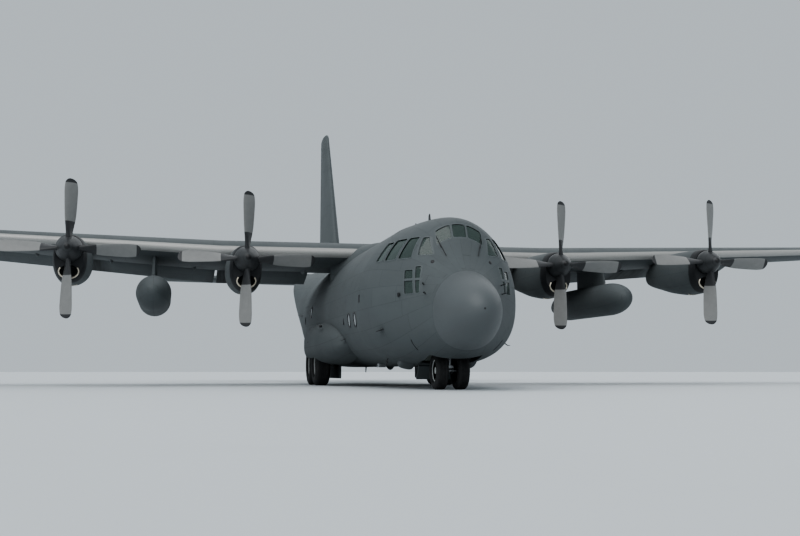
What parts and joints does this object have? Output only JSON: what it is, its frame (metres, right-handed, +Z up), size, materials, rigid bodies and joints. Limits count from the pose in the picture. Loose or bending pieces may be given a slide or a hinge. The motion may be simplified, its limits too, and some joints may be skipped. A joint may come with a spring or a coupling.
{
  "type": "1:2 scale model of a four-engine military transport plane",
  "caption": "High-wing turboprop transport on its wheels, with hollow hold, rear ramp, hinged control surfaces, flaps, doors, underwing tanks and turning propellers.",
  "frame": {"origin": "on the ground, midway between nose tip and tail end, in the plane of symmetry", "axes": "+X to port along the span, -Y towards the nose, +Z up"},
  "size_m": [20.2, 14.895, 5.83],
  "materials": {
    "paint": "matt blue-grey paint",
    "radome": "smooth matt grey radome paint",
    "glass": "tinted glass",
    "interior": "matt grey-green cabin paint",
    "floor": "dark worn floor plates",
    "propeller": "black spinner, grey blades",
    "engine": "dull metal",
    "gear_steel": "light grey painted steel and bright pistons",
    "tyre": "black rubber"
  },
  "bodies": {
    "airframe": {"radome": "radome", "cockpit_shell": "paint", "cockpit_glazing": "glass", "flight_deck": "interior", "centre_fuselage": "paint", "cargo_floor": "floor", "aft_fuselage": "paint", "centre_wing": "paint", "front_wing_fairing": "paint", "rear_wing_fairing": "paint", "tailplane": "paint", "fin": "paint", "nose_leg": "gear_steel", "nose_gear_door": "paint", "outer_wing_port": "paint", "tank_port": "paint", "tank_pylon_port": "paint", "sponson_port": "paint", "main_legs_port": "gear_steel", "main_gear_door_port": "paint", "paratroop_door_port": "paint", "outer_wing_starboard": "paint", "tank_starboard": "paint", "tank_pylon_starboard": "paint", "sponson_starboard": "paint", "main_legs_starboard": "gear_steel", "main_gear_door_starboard": "paint", "paratroop_door_starboard": "paint", "nacelle_port_outer": "paint", "engine_port_outer": "engine", "nacelle_port_inner": "paint", "engine_port_inner": "engine", "nacelle_starboard_inner": "paint", "engine_starboard_inner": "engine", "nacelle_starboard_outer": "paint", "engine_starboard_outer": "engine"},
    "propeller_port_outer": {"propeller_port_outer": "propeller"},
    "propeller_port_inner": {"propeller_port_inner": "propeller"},
    "propeller_starboard_inner": {"propeller_starboard_inner": "propeller"},
    "propeller_starboard_outer": {"propeller_starboard_outer": "propeller"},
    "front_main_wheel_port": {"front_main_wheel_port": "tyre"},
    "rear_main_wheel_port": {"rear_main_wheel_port": "tyre"},
    "front_main_wheel_starboard": {"front_main_wheel_starboard": "tyre"},
    "rear_main_wheel_starboard": {"rear_main_wheel_starboard": "tyre"},
    "nose_steering": {"nose_fork": "gear_steel"},
    "nose_wheels": {"nose_wheels": "tyre"},
    "crew_door": {"crew_door": "paint"},
    "ramp": {"ramp": "paint"},
    "aft_cargo_door": {"aft_cargo_door": "paint"},
    "elevators": {"elevator_port": "paint", "elevator_starboard": "paint"},
    "rudder": {"rudder": "paint"},
    "aileron_port": {"aileron_port": "paint"},
    "aileron_starboard": {"aileron_starboard": "paint"},
    "inner_flap_port": {"inner_flap_port": "paint"},
    "outer_flap_port": {"outer_flap_port": "paint"},
    "inner_flap_starboard": {"inner_flap_starboard": "paint"},
    "outer_flap_starboard": {"outer_flap_starboard": "paint"}
  },
  "joints": [
    {"name": "spin_propeller_port_outer", "type": "hinge", "parent": "airframe", "child": "propeller_port_outer", "pos_m": [5.075, -3.2575, 2.025], "axis": [0, 1, 0], "continuous": true},
    {"name": "spin_propeller_port_inner", "type": "hinge", "parent": "airframe", "child": "propeller_port_inner", "pos_m": [2.485, -3.2575, 1.925], "axis": [0, 1, 0], "continuous": true},
    {"name": "spin_propeller_starboard_inner", "type": "hinge", "parent": "airframe", "child": "propeller_starboard_inner", "pos_m": [-2.485, -3.2575, 1.925], "axis": [0, 1, 0], "continuous": true},
    {"name": "spin_propeller_starboard_outer", "type": "hinge", "parent": "airframe", "child": "propeller_starboard_outer", "pos_m": [-5.075, -3.2575, 2.025], "axis": [0, 1, 0], "continuous": true},
    {"name": "roll_front_main_wheel_port", "type": "hinge", "parent": "airframe", "child": "front_main_wheel_port", "pos_m": [1.0875, -1.2525, 0.355], "axis": [1, 0, 0], "continuous": true},
    {"name": "roll_rear_main_wheel_port", "type": "hinge", "parent": "airframe", "child": "rear_main_wheel_port", "pos_m": [1.0875, -0.4925, 0.355], "axis": [1, 0, 0], "continuous": true},
    {"name": "roll_front_main_wheel_starboard", "type": "hinge", "parent": "airframe", "child": "front_main_wheel_starboard", "pos_m": [-1.0875, -1.2525, 0.355], "axis": [1, 0, 0], "continuous": true},
    {"name": "roll_rear_main_wheel_starboard", "type": "hinge", "parent": "airframe", "child": "rear_main_wheel_starboard", "pos_m": [-1.0875, -0.4925, 0.355], "axis": [1, 0, 0], "continuous": true},
    {"name": "steer_nose_wheels", "type": "hinge", "parent": "airframe", "child": "nose_steering", "pos_m": [0, -5.7575, 0.4], "axis": [0, 0, 1], "range_deg": [-60, 60]},
    {"name": "roll_nose_wheels", "type": "hinge", "parent": "nose_steering", "child": "nose_wheels", "pos_m": [0, -5.7575, 0.2475], "axis": [1, 0, 0], "continuous": true},
    {"name": "open_crew_door", "type": "hinge", "parent": "airframe", "child": "crew_door", "pos_m": [0.9, -4.9725, 0.512], "axis": [0, 1, 0], "range_deg": [0, 112]},
    {"name": "lower_ramp", "type": "hinge", "parent": "airframe", "child": "ramp", "pos_m": [0, 1.2825, 0.32], "axis": [-1, 0, 0], "range_deg": [0, 32]},
    {"name": "raise_aft_cargo_door", "type": "hinge", "parent": "airframe", "child": "aft_cargo_door", "pos_m": [0, 4.7925, 1.975], "axis": [-1, 0, 0], "range_deg": [0, 25]},
    {"name": "tilt_elevators", "type": "hinge", "parent": "airframe", "child": "elevators", "pos_m": [0, 6.2525, 2.33], "axis": [1, 0, 0], "range_deg": [-15, 40]},
    {"name": "turn_rudder", "type": "hinge", "parent": "airframe", "child": "rudder", "pos_m": [0, 6.17502, 2.54], "axis": [0, 0.0694, 0.9976], "range_deg": [-35, 35]},
    {"name": "tilt_aileron_port", "type": "hinge", "parent": "airframe", "child": "aileron_port", "pos_m": [7.1, -0.30377, 2.38184], "axis": [0.9952, -0.0836, 0.0501], "range_deg": [-20, 20]},
    {"name": "tilt_aileron_starboard", "type": "hinge", "parent": "airframe", "child": "aileron_starboard", "pos_m": [-7.1, -0.30377, 2.38184], "axis": [0.9952, 0.0836, -0.0501], "range_deg": [-20, 20]},
    {"name": "lower_inner_flap_port", "type": "hinge", "parent": "airframe", "child": "inner_flap_port", "pos_m": [1.145, 0.05202, 1.5046], "axis": [-1, 0, 0], "range_deg": [-18, 18]},
    {"name": "lower_outer_flap_port", "type": "hinge", "parent": "airframe", "child": "outer_flap_port", "pos_m": [2.83, 0.04951, 1.5073], "axis": [-0.9926, 0.083, -0.0892], "range_deg": [-18, 18]},
    {"name": "lower_inner_flap_starboard", "type": "hinge", "parent": "airframe", "child": "inner_flap_starboard", "pos_m": [-1.145, 0.05202, 1.5046], "axis": [-1, 0, 0], "range_deg": [-18, 18]},
    {"name": "lower_outer_flap_starboard", "type": "hinge", "parent": "airframe", "child": "outer_flap_starboard", "pos_m": [-2.83, 0.04951, 1.5073], "axis": [-0.9926, -0.083, 0.0892], "range_deg": [-18, 18]}
  ],
  "couplings": [
    {"joint": "lower_outer_flap_port", "follows": "lower_inner_flap_port", "ratio": 1},
    {"joint": "lower_inner_flap_starboard", "follows": "lower_inner_flap_port", "ratio": 1},
    {"joint": "lower_outer_flap_starboard", "follows": "lower_inner_flap_port", "ratio": 1},
    {"joint": "tilt_aileron_starboard", "follows": "tilt_aileron_port", "ratio": -1}
  ]
}
